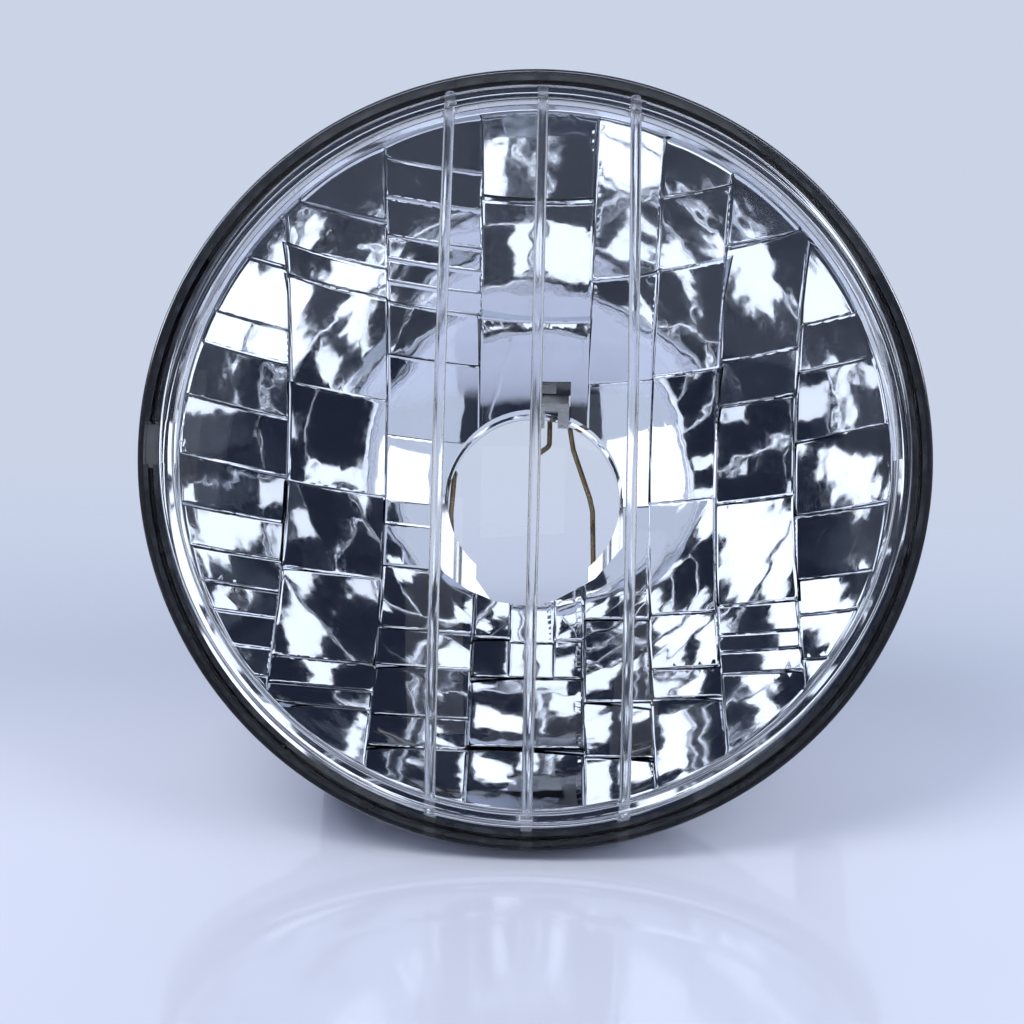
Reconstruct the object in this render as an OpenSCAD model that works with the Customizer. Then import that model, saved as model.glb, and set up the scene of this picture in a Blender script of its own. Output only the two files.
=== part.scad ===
// Round motorcycle headlight unit: a clear lens bonded to a many-facet reflector,
// with a sprung wire that holds the bulb in its seat.
// The optical axis lies along Y and the light leaves towards -Y. The origin is on the
// axis, at the face that the bulb's flange seats on.

/* [Rim and lens] */
// Diameter over the lens rim
lens_d = 160; // [150:1:170]
// Thickness of the lens rim
rim_t = 2.5; // [2:0.1:3.5]
// Distance from the bulb seat to the front of the lens rim
seat_depth = 66; // [65:0.5:67]
// Diameter of the raised front of the lens
dome_d = 150; // [148:0.5:151]
// Height of the straight wall below the curved front
dome_wall_h = 5; // [3:0.5:8]
// Rise of the curved front above its wall
dome_rise = 10; // [6:0.5:14]
// Wall of the raised front
lens_wall = 2.5; // [2:0.1:3]
// Width of a rib on the inside of the lens
lens_rib_w = 2.2; // [1.4:0.1:3]
// Spacing of the ribs
lens_rib_pitch = 19; // [14:0.5:24]
// Number of ribs
lens_rib_n = 3; // [1:2:5]
// Length of the locating key at the left of the rim
key_len = 9; // [6:0.5:14]

/* [Bonded joint] */
// Thickness of the lens tongue
tongue_t = 1; // [0.8:0.1:1.2]
// Height of the lens tongue below the rim
tongue_h = 5; // [4:0.5:6]
// Width of the channel in the reflector rim
channel_w = 3; // [2.8:0.1:3.2]
// Wall outside the channel
channel_wall = 0.9; // [0.8:0.1:1.2]
// Gap below the lens rim and under the tongue
bond_gap = 0.3; // [0.2:0.05:0.5]

/* [Reflector] */
// Focal length of the bowl
focal = 24; // [23.5:0.1:24.5]
// Wall of the bowl
bowl_wall = 2.6; // [2:0.1:3.5]
// Radius of the mouth of the bowl, where the facets end
mouth_r = 72; // [71:0.25:72.5]
// Widening of the bowl above the facets
mouth_flare = 1.5; // [1:0.1:1.7]
// Curvature of the facets, as a share of the bowl's own
facet_curve = 1.12; // [1.08:0.01:1.2]
// Tilt of the facets either way from the bowl's surface
facet_tilt = 1.4; // [0.8:0.1:1.6]
// Depth that the deepest facets are sunk below the bowl's surface
facet_step = 0.35; // [0.1:0.05:0.5]
// Number of stiffening ribs on the back
back_rib_n = 12; // [6:1:16]
// Thickness of a stiffening rib
back_rib_t = 1.8; // [1.4:0.1:2.5]
// Height of a stiffening rib above the bowl's back
back_rib_h = 4; // [2:0.5:6]

/* [Bulb seat] */
// Diameter of the hole for the bulb, at the seat
bulb_hole_d = 38.8; // [38:0.1:39]
// Diameter of the hole in front of the seat's land
front_hole_d = 39.4; // [39.2:0.1:40]
// Length of the seat's land
seat_land = 3.5; // [3:0.1:4.5]
// Diameter of the recess for the bulb's flange
flange_d = 43.4; // [43:0.1:44.5]
// Depth of the recess for the bulb's flange
flange_recess = 1.6; // [1:0.1:2]
// Width of a notch for a tab of the flange
tab_notch_w = 8; // [6:0.5:10]
// Outer diameter of the neck round the seat
neck_d = 52; // [50:0.5:54]
// Outer diameter of the collar for the rubber boot
collar_d = 70; // [68:0.5:74]
// Wall of the collar
collar_wall = 2; // [1.6:0.1:2.5]
// Length of the collar behind the seat
collar_len = 18; // [16:0.5:24]
// Depth of the relief below the hole, from the axis
relief_low = 25; // [23:0.25:25.5]

/* [Retaining wire] */
// Diameter of the wire
wire_d = 1.2; // [1:0.1:1.5]
// Distance of the wire behind the seat
wire_back = 6; // [5:0.25:8]
// Distance of the hinge below the axis
hinge_drop = 25; // [24.5:0.25:26]
// Radial clearance of the wire in its knuckle
wire_clear = 0.07; // [0.03:0.01:0.1]
// Half the length of the wire in the knuckle
hinge_half = 5.5; // [4.5:0.25:6.5]

/* [Sheet metal] */
// Thickness of the hinge plate and the catch
sheet_t = 0.8; // [0.6:0.1:1]
// Width of the catch
catch_w = 8; // [7:0.25:9]
// Distance of the catch to the right of the axis
catch_x = 3.5; // [2:0.25:5]
// Diameter of the screws that hold the sheet metal
screw_d = 3; // [2.5:0.1:3.5]

/* [Fixing lugs] */
// Diameter of the circle of the fixing lugs
lug_pcd = 148; // [146:0.5:150]
// Diameter of a lug
lug_d = 11; // [10:0.5:13]
// Length of a lug behind the rim
lug_len = 24; // [18:1:30]
// Diameter of the hole in a lug insert
insert_hole_d = 4.2; // [3.3:0.1:5]
// Wall of a lug insert
insert_wall = 1.2; // [0.8:0.1:1.5]
// Length of a lug insert
insert_len = 10; // [8:0.5:14]

/* [Breather] */
// Outer diameter of the breather cap
vent_d = 11; // [10:0.5:13]
// Length of the breather cap
vent_len = 14; // [11:0.5:18]
// Distance of the breather from the axis
vent_r = 50; // [47:0.5:53]

/* [Hidden] */

$fn = 96;
eps = 0.01;

// radii and heights: heights are counted forward from the bulb seat
lens_r = lens_d / 2;
dome_r = dome_d / 2;
rim_top = seat_depth;
rim_bottom = rim_top - rim_t;
body_top = rim_bottom - bond_gap;
channel_out = lens_r - channel_wall;
channel_in = channel_out - channel_w;
tongue_r = (channel_in + channel_out + tongue_t) / 2;
tongue_bottom = rim_bottom - tongue_h;
channel_floor = tongue_bottom - bond_gap;
// the bowl's vertex would lie this far behind the front of the rim
vertex_depth = 60;
bowl_vertex = seat_depth - vertex_depth;
seat_r = bulb_hole_d / 2;
hole_r = front_hole_d / 2;
flange_r = flange_d / 2;
// reach of the notches for the tabs beyond the flange's recess
tab_reach = 1.8;
neck_r = neck_d / 2;
neck_back = -flange_recess;
collar_r = collar_d / 2;
collar_in = collar_r - collar_wall;
lug_r = lug_pcd / 2;
lug_angles = [60, 150, 240, 330];
vent_angles = [45, 135];
// a sliver of air between pieces that are bonded or pressed together
fit = 0.03;

// height of the bowl's surface at a distance from the axis
function bowl_z(r) = bowl_vertex + r * r / (4 * focal);
// the same, on the back of the wall
function back_z(r, t) = bowl_z(r) - t * sqrt(1 + pow(r / (2 * focal), 2));

mouth_z = bowl_z(mouth_r);
// the mouth widens from here on, which is above the highest edge of a facet
flare_low = mouth_z + 1.7;
flare_ledge = 0.2;
// the bosses end inside the bowl, where the facets then cut them off
bowl_back = mouth_z - bowl_z(collar_in) - 6;
rim_floor = channel_floor - bowl_wall;
// the ribs leave room for the boot's mouth round the collar
rib_start = 4;
bowl_steps = 24;
// the bowl's back runs into the flat back of the rim here, where their surfaces would meet,
// rounded down to a whole millimetre
back_rise = focal + rim_floor - bowl_vertex;
back_slope = (bowl_wall + sqrt(pow(bowl_wall, 2) + 4 * focal * back_rise)) / (2 * focal);
back_reach = floor(2 * focal * sqrt(pow(back_slope, 2) - 1));
lug_back = rim_floor - lug_len;
insert_r = insert_hole_d / 2 + insert_wall;

// the front of the lens: a shallow sphere on a straight wall
dome_radius = (dome_r * dome_r + dome_rise * dome_rise) / (2 * dome_rise);
dome_centre = rim_top + dome_wall_h + dome_rise - dome_radius;
dome_in_r = dome_r - lens_wall;
dome_in_radius = dome_radius - lens_wall;

// the window above the hole, which the catch passes through
window_low = hole_r + 1.3;
window_h = 4.5;
window_gap = 0.2;
window_w = catch_w + 2 * window_gap;
window_len = bowl_vertex + 14;
// the notch in the hole's edge, in front of the catch's tab
notch_drop = 5;
notch_h = 7;
notch_len = 12;
catch_front = 7;
catch_drop = 5.6;
catch_slot_w = 3;
catch_rise = 9.5;
catch_boss_w = catch_w + 4;
catch_screw_rise = 7.5;
catch_screw_up = window_low + catch_screw_rise;
// the lip behind the catch that the wire's end springs under
lip_up = 25;
lip_back = -8;

// the hinge plate lies in front of the wire and is rolled round it
knuckle_in = wire_d / 2 + wire_clear;
knuckle_out = knuckle_in + sheet_t;
knuckle_half = hinge_half - wire_d / 2 - 1.2;
plate_front = -wire_back + knuckle_out;
plate_back = plate_front - sheet_t;
plate_half = 10.2;
plate_low = -hinge_drop - 6.2;
plate_top = -hinge_drop - knuckle_in - 0.6;
hinge_screw_x = 7;
hinge_screw_low = -hinge_drop - 3.6;
head_r = 0.82 * screw_d;
head_h = 0.6 * screw_d;
drive_half = 0.62 * head_r;
drive_w = 0.2 * screw_d;
screw_len = 7;
screw_gap = 0.1;

// the bent wire, seen from the front: places to the right of the axis and above it
wire_right = [[hinge_half, -hinge_drop], [14, -16], [13.5, -0.5], [12.8, 2.5], [8.8, 13.8], [8, 18.5],
              [7.3, 24.2], [3.3, 24.2], [3.3, 14.5], [0.8, 12.6]];
wire_left = [[-hinge_half, -hinge_drop], [-18.2, -15.2], [-18.9, -1.7], [-18.3, 8]];
wire_tip = 4;
wire_bend_r = 1.6;
bend_steps = 6;
wire_sides = 16;

// the breather spigot, its rubber cap and the back of the bowl where they stand
vent_base = back_z(vent_r, bowl_wall);
vent_wall = 1.5;
vent_clear = 5.2;
spigot_r = vent_d / 2 - 2;

// angles that vary the depth and the two tilts from facet to facet, chosen so that
// no two neighbours touch along their border
facet_waves = [59, 327, 130];
// the facet columns start this far below the bowl's vertex
facet_reach = 5;
// the outlines cut below the bulb hole, as places on the face of the reflector
relief_through = [[-12.6, -13], [-12.6, -18], [-8, -relief_low + 0.8], [0, -relief_low],
                  [5, -relief_low + 1.4], [12.6, -18], [12.6, -13]];
relief_front = [[-20.3, 0], [-20.3, -17.5], [-14, -21.8], [-8, -relief_low + 0.8], [0, -relief_low],
                [5, -relief_low + 1.4], [14, -18.4], [19.9, -11.2], [19.9, 0]];

// columns of facets: left edge, right edge and the heights where one row ends and the next begins
rows_far_left = [72, 48, 40, 28.5, 22, 11, -1.3, -11.5, -20, -27, -33, -40, -46, -72];
rows_left = [72, 52, 44, 38.7, 18.5, -2, -21, -41, -47, -51.3, -72];
rows_near_left = [72, 62.5, 56.5, 50, 46, 42, 38, 28, 11.5, -2.7, -8, -17.5, -32, -40.5, -52, -59, -72];
rows_centre_top = [72, 58, 37.3, 0];
rows_centre_low = [0, -33, -42];
rows_centre_mid = [0, -33.7, -42];
rows_centre_foot = [-42, -58, -72];
rows_near_right = [72, 45, 25, -2, -28, -47.5, -60, -72];
rows_right = [72, 58, 45.7, 25.7, -1.3, -27.3, -40, -46.8, -72];
rows_far_right = [72, 48, 27, 18, -3, -26.3, -33, -37, -42, -72];
rows_last_right = [48, 31, 22, 8, -8, -22, -30, -40, -48];
facet_columns = [
    [-72, -52.5, rows_far_left],
    [-52.5, -32.5, rows_left],
    [-32.5, -12.5, rows_near_left],
    [-12.5, 11.5, rows_centre_top],
    [-12.5, -4.5, rows_centre_low],
    [-4.5, 5, rows_centre_mid],
    [5, 11.5, rows_centre_low],
    [-12.5, 11.5, rows_centre_foot],
    [11.5, 25.5, rows_near_right],
    [25.5, 39.5, rows_right],
    [39.5, 55, rows_far_right],
    [55, 72, rows_last_right]];

// turns a part built looking up Z so that it looks towards -Y
module aim() {
    rotate([90, 0, 0]) children();
}

function unit(v) = v / norm(v);
// the places along a round bend at p, on the way from a to b
function bend_at(a, p, b) =
    let (u = unit(p - a), v = unit(b - p), turn = acos(u * v), n = unit(v - (u * v) * u),
         start = p - u * wire_bend_r * tan(turn / 2), c = start + n * wire_bend_r)
    [for (k = [0 : bend_steps]) let (f = turn * k / bend_steps)
        c - n * wire_bend_r * cos(f) + u * wire_bend_r * sin(f)];
// the middle line of a wire through a list of points, with each corner rounded
function wire_path(points) = let (last = len(points) - 1) concat(
    [points[0]],
    [for (i = [1 : last - 1]) each bend_at(points[i - 1], points[i], points[i + 1])],
    [points[last]]);
function heading(path, i) = unit(path[min(i + 1, len(path) - 1)] - path[max(i - 1, 0)]);
// turns a side vector so that it stays square to a heading
function squared(side, along) = unit(side - (side * along) * along);

// a bent wire: one closed tube swept along its middle line
module bent_wire(points, r, side) {
    path = wire_path(points);
    rings = len(path);
    sides = [for (i = 0, s = squared(side, heading(path, 0)); i < rings;
                  i = i + 1, s = i < rings ? squared(s, heading(path, i)) : s) s];
    skin = [for (i = [0 : rings - 1]) let (s = sides[i], up = cross(heading(path, i), s))
            for (k = [0 : wire_sides - 1]) let (a = 360 * k / wire_sides)
                path[i] + r * (cos(a) * s + sin(a) * up)];
    walls = [for (i = [0 : rings - 2]) for (k = [0 : wire_sides - 1])
             let (a = i * wire_sides + k, b = i * wire_sides + (k + 1) % wire_sides)
             each [[a, a + wire_sides, b + wire_sides], [a, b + wire_sides, b]]];
    first = [for (k = [0 : wire_sides - 1]) k];
    last = [for (k = [wire_sides - 1 : -1 : 0]) (rings - 1) * wire_sides + k];
    polyhedron(points = skin, faces = concat([first], walls, [last]));
}

// a pan-headed screw that points forward, with its head's underside at the origin
module screw() {
    difference() {
        union() {
            translate([0, 0, -head_h]) cylinder(r = head_r, h = head_h, $fn = 48);
            cylinder(r = screw_d / 2 - fit, h = screw_len, $fn = 48);
        }
        for (a = [0, 90]) rotate(a)
            translate([-drive_half, -drive_w / 2, -head_h - 1])
                cube([2 * drive_half, drive_w, 1 + head_h * 0.6]);
    }
}

// one facet's share of the bowl: a column of space that ends on a shallow sphere,
// whose poles lie sideways so that its facets stay even
module facet_space(x0, x1, y0, y1, n) {
    x = (x0 + x1) / 2;
    y = (y0 + y1) / 2;
    r = sqrt(x * x + y * y);
    lean_x = atan(-x / (2 * focal));
    lean_y = atan(y / (2 * focal) * cos(lean_x));
    sink = facet_step * (0.5 + 0.5 * sin(n * facet_waves[0]));
    tilt_y = facet_tilt * cos(n * facet_waves[1]);
    tilt_x = facet_tilt * sin(n * facet_waves[2]);
    radius = facet_curve * 2 * focal * (1 + pow(r / (2 * focal), 2));
    low = bowl_vertex - facet_reach;
    intersection() {
        translate([x0, y0, low]) cube([x1 - x0, y1 - y0, rim_top - low]);
        translate([x, y, bowl_z(r) - sink])
            rotate([lean_y + tilt_y, lean_x + tilt_x, 0])
            translate([0, 0, radius]) rotate([90, 0, 0]) sphere(r = radius, $fn = 200);
    }
}

// the space inside the bowl
module facets() {
    intersection() {
        union() {
            for (c = [0 : len(facet_columns) - 1]) {
                rows = facet_columns[c][2];
                for (k = [0 : len(rows) - 2])
                    facet_space(facet_columns[c][0], facet_columns[c][1], rows[k + 1], rows[k], 7 * c + k);
            }
        }
        cylinder(r = mouth_r, h = rim_top);
    }
}

// the bowl's back, rim and neck, filled to the mouth
module bowl_blank() {
    rotate_extrude() polygon(concat(
        [[0, neck_back], [neck_r, neck_back], [neck_r, back_z(neck_r, bowl_wall)]],
        [for (i = [0 : bowl_steps - 1]) let (r = back_reach * i / bowl_steps)
            if (r > neck_r + 0.5) [r, back_z(r, bowl_wall)]],
        [[back_reach, rim_floor], [lens_r, rim_floor], [lens_r, body_top], [0, body_top]]));
}

// thin radial ribs that stand behind the bowl from the collar to the rim
module back_ribs() {
    intersection() {
        rotate_extrude() polygon(concat(
            [for (i = [0 : bowl_steps]) let (r = back_reach * i / bowl_steps)
                if (r > collar_r) [r, back_z(r, bowl_wall) - back_rib_h]],
            [[back_reach, rim_floor + 1], [collar_r, rim_floor + 1]]));
        for (k = [0 : back_rib_n - 1]) rotate(k * 360 / back_rib_n)
            translate([collar_r + rib_start, -back_rib_t / 2, 0]) cube([lens_r, back_rib_t, rim_top]);
    }
}

// the neck's bosses: one carries the hinge plate, the other the catch
module neck_bosses() {
    half = plate_half + 1;
    translate([-half, plate_low, plate_front]) cube([2 * half, plate_top - plate_low, mouth_z - bowl_back]);
    translate([-half, plate_top - eps, neck_back]) cube([2 * half, hinge_drop / 3, mouth_z - bowl_back]);
    translate([catch_x - catch_boss_w / 2, window_low, neck_back])
        cube([catch_boss_w, catch_rise + 0.5, mouth_z - bowl_back]);
}

// the fixing lugs and the breather spigots
module posts() {
    for (a = lug_angles) rotate(a) translate([lug_r, 0, lug_back]) cylinder(r = lug_d / 2, h = lug_len + 1);
    for (a = vent_angles) rotate(a)
        translate([vent_r, 0, vent_base - vent_len]) cylinder(r = spigot_r, h = vent_len + 2, $fn = 48);
}

// what is taken out of the moulding round the bulb hole
module seat_cuts() {
    translate([0, 0, neck_back - 1]) cylinder(r = seat_r, h = seat_depth);
    translate([0, 0, seat_land]) cylinder(r = hole_r, h = seat_depth);
    translate([0, 0, neck_back - 1]) cylinder(r = flange_r, h = flange_recess + 1);
    for (a = [90, 210, 330]) rotate(a)
        translate([0, -tab_notch_w / 2, neck_back - 1])
            cube([flange_r + tab_reach, tab_notch_w, flange_recess + 1]);
    // the relief below the hole: a narrow one right through, and a wide shallow one in front
    translate([0, 0, neck_back - 1]) linear_extrude(height = seat_depth) polygon(relief_through);
    translate([0, 0, seat_land]) linear_extrude(height = seat_depth) polygon(relief_front);
    // the window for the catch, and the notch in front of it
    translate([catch_x - window_w / 2, window_low, neck_back - 1]) cube([window_w, window_h, window_len]);
    translate([catch_x - window_w / 2, hole_r - notch_drop, catch_front - sheet_t - window_gap])
        cube([window_w, notch_h, notch_len]);
}

module reflector() {
    color("gainsboro") aim() difference() {
        union() {
            bowl_blank();
            back_ribs();
            neck_bosses();
            posts();
            translate([0, 0, -collar_len]) difference() {
                cylinder(r = collar_r, h = collar_len + bowl_z(collar_in) - bowl_wall / 3);
                translate([0, 0, -1]) cylinder(r = collar_in, h = collar_len + seat_depth);
            }
        }
        facets();
        translate([0, 0, flare_low])
            cylinder(r1 = mouth_r + flare_ledge, r2 = mouth_r + mouth_flare, h = body_top - flare_low + eps);
        rotate_extrude() translate([channel_in, channel_floor]) square([channel_w, tongue_h + 1]);
        seat_cuts();
        for (a = lug_angles) rotate(a)
            translate([lug_r, 0, lug_back - 1]) cylinder(r = insert_r + fit, h = insert_len + 3, $fn = 48);
        for (s = [-1, 1])
            translate([s * hinge_screw_x, hinge_screw_low, plate_front - 1])
                cylinder(r = screw_d / 2, h = screw_len + 1, $fn = 48);
        translate([catch_x, catch_screw_up, neck_back - 1])
            cylinder(r = screw_d / 2, h = screw_len + 1, $fn = 48);
    }
}

module lens() {
    color("aliceblue", 0.35) aim() {
        difference() {
            union() {
                translate([0, 0, rim_bottom]) cylinder(r = lens_r, h = rim_t);
                intersection() {
                    translate([0, 0, rim_bottom]) cylinder(r = dome_r, h = rim_t + dome_wall_h + dome_rise);
                    translate([0, 0, dome_centre]) sphere(r = dome_radius, $fn = 360);
                }
            }
            intersection() {
                translate([0, 0, rim_bottom - 1])
                    cylinder(r = dome_in_r, h = rim_t + dome_wall_h + dome_rise);
                translate([0, 0, dome_centre]) sphere(r = dome_in_radius, $fn = 360);
            }
        }
        // ribs with a round section, half sunk in the inner face
        for (k = [0 : lens_rib_n - 1]) lens_rib((k - (lens_rib_n - 1) / 2) * lens_rib_pitch);
        // the tongue, and the key that turns the lens the right way up
        rotate_extrude() translate([tongue_r - tongue_t, tongue_bottom]) square([tongue_t, tongue_h + 0.5]);
        intersection() {
            rotate_extrude() translate([channel_in + fit, tongue_bottom])
                square([channel_w - 2 * fit, tongue_h + 0.5]);
            translate([-lens_r, -key_len / 2, tongue_bottom - 1]) cube([lens_r / 2, key_len, tongue_h + 2]);
        }
    }
}

// one vertical rib at a distance from the middle of the lens
module lens_rib(x) {
    intersection() {
        translate([x, 0, dome_centre]) rotate([0, 90, 0])
            rotate_extrude($fn = 360) translate([sqrt(pow(dome_in_radius, 2) - x * x), 0])
                circle(r = lens_rib_w / 2, $fn = 32);
        translate([0, 0, rim_bottom]) cylinder(r = dome_in_r + lens_wall / 2, h = 3 * dome_rise);
    }
}

module lens_sealant() {
    color("black") aim() difference() {
        rotate_extrude() translate([channel_in + fit, channel_floor])
            square([channel_w - 2 * fit, tongue_h + bond_gap - fit]);
        rotate_extrude() translate([tongue_r - tongue_t - fit, tongue_bottom])
            square([tongue_t + 2 * fit, tongue_h + 1]);
        translate([-lens_r - 1, -key_len / 2 - fit, channel_floor - 1])
            cube([lens_r / 2, key_len + 2 * fit, tongue_h + 3]);
    }
}

module retaining_wire() {
    z = -wire_back;
    left_end = wire_left[len(wire_left) - 1];
    color("darkgoldenrod") aim() {
        bent_wire(concat(
            [[left_end[0], left_end[1], z - wire_tip]],
            [for (i = [len(wire_left) - 1 : -1 : 0]) [wire_left[i][0], wire_left[i][1], z]],
            [for (p = wire_right) [p[0], p[1], z]]), wire_d / 2, [1, 0, 0]);
    }
}

module hinge_plate() {
    color("silver") aim() difference() {
        union() {
            translate([-plate_half, plate_low, plate_back])
                cube([2 * plate_half, plate_top - plate_low, sheet_t]);
            translate([-knuckle_half, plate_low, plate_back])
                cube([2 * knuckle_half, -hinge_drop - plate_low, sheet_t]);
            translate([-knuckle_half, -hinge_drop, -wire_back]) rotate([0, 90, 0])
                cylinder(r = knuckle_out, h = 2 * knuckle_half);
        }
        translate([-knuckle_half - 1, -hinge_drop, -wire_back]) rotate([0, 90, 0])
            cylinder(r = knuckle_in, h = 2 * knuckle_half + 2);
        for (s = [-1, 1]) translate([s * hinge_screw_x, hinge_screw_low, plate_back - 1])
            cylinder(r = screw_d / 2 + screw_gap, h = sheet_t + 2);
    }
}

module hinge_screw(s) {
    color("dimgray") aim() translate([s * hinge_screw_x, hinge_screw_low, plate_back]) screw();
}

module catch_bracket() {
    left = catch_x - catch_w / 2;
    low = window_low + fit;
    back = neck_back - sheet_t;
    color("silver") aim() difference() {
        union() {
            translate([left, low, back]) cube([catch_w, sheet_t, catch_front - back]);
            translate([left, low - catch_drop + sheet_t, catch_front - sheet_t])
                cube([catch_w, catch_drop, sheet_t]);
            translate([left, low, back]) cube([catch_w, catch_rise, sheet_t]);
            translate([left, lip_up, lip_back]) cube([catch_w, sheet_t, back - lip_back + eps]);
        }
        translate([catch_x - catch_slot_w / 2, low - catch_drop, catch_front - sheet_t - 1])
            cube([catch_slot_w, catch_drop - 1, sheet_t + 2]);
        translate([catch_x, catch_screw_up, back - 1])
            cylinder(r = screw_d / 2 + screw_gap, h = sheet_t + 2);
    }
}

module catch_screw() {
    color("dimgray") aim() translate([catch_x, catch_screw_up, neck_back - sheet_t]) screw();
}

module lug_insert(k) {
    color("goldenrod") aim() rotate(lug_angles[k]) translate([lug_r, 0, lug_back]) difference() {
        cylinder(r = insert_r, h = insert_len, $fn = 48);
        translate([0, 0, -1]) cylinder(r = insert_hole_d / 2, h = insert_len + 2, $fn = 48);
    }
}

module breather_cap(k) {
    cap_back = vent_base - vent_len - vent_wall;
    color("black") aim() rotate(vent_angles[k]) translate([vent_r, 0, cap_back]) difference() {
        union() {
            cylinder(r = vent_d / 2, h = vent_len - vent_clear, $fn = 48);
            translate([0, 0, vent_wall]) cylinder(r = vent_d / 2 + 1, h = 2, $fn = 48);
        }
        translate([0, 0, vent_wall]) cylinder(r = spigot_r + fit, h = vent_len, $fn = 48);
    }
}

lens();
lens_sealant();
reflector();
retaining_wire();
hinge_plate();
hinge_screw(-1);  // hinge_screw_left
hinge_screw(1);  // hinge_screw_right
catch_bracket();
catch_screw();
lug_insert(0);  // lug_insert_1
lug_insert(1);  // lug_insert_2
lug_insert(2);  // lug_insert_3
lug_insert(3);  // lug_insert_4
breather_cap(1);  // breather_cap_left
breather_cap(0);  // breather_cap_right
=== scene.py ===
"""Round motorcycle headlight unit: a clear ribbed lens over a many-facet mirrored reflector.

The pieces' sizes are in millimetres, in the lamp's own axes: x to the right of the optical axis,
up above it, and forward from the bulb seat. The studio's sizes are in metres, in the frame.
"""

import logging
import math
from dataclasses import dataclass, field
from enum import Enum
from typing import Iterable, Sequence

import bmesh
import bpy
from mathutils import Matrix, Vector
from mathutils.geometry import delaunay_2d_cdt


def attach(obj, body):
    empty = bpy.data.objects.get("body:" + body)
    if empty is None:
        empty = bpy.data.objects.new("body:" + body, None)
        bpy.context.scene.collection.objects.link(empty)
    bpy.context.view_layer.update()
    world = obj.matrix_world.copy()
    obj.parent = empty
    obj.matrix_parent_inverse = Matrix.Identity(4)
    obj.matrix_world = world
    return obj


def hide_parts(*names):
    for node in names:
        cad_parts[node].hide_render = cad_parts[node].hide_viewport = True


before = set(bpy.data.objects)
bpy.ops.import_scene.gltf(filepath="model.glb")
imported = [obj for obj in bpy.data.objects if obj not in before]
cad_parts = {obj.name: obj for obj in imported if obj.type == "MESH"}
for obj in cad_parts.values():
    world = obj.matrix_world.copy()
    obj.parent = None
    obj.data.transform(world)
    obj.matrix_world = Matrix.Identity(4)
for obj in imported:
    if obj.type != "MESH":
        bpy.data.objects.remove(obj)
log = logging.getLogger("headlight")

MM = 0.001
TO_MM = 1000.0
Point2 = tuple[float, float]
Triple = tuple[float, float, float]
Colour = tuple[float, float, float]
EVEN: Triple = (1.0, 1.0, 1.0)

# points closer than the first are one point, and edges shorter than the second are none, in metres
SAME_PLACE = 1e-7
NO_LENGTH = 1e-8


class Rider(Enum):
    """The bodies of the frame that a piece can ride on."""

    HOUSING = "housing"
    CLIP = "clip"


class Slot(Enum):
    """Names of the record's material slots for the scene's own pieces."""

    LENS = "clear_lens"
    SEALANT = "sealant"
    MIRROR = "mirrored_plastic"
    WIRE = "plated_wire"


def row(x: float, up: float, forward: float) -> Vector:
    """Turns a place in the lamp's own millimetres into the frame's metres.

    Args:
        x: Distance to the right of the optical axis.
        up: Distance above the optical axis.
        forward: Distance in front of the bulb seat.

    Returns:
        The same place in the frame.
    """
    return Vector((x * MM, -forward * MM, up * MM))


# Node trees


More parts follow.
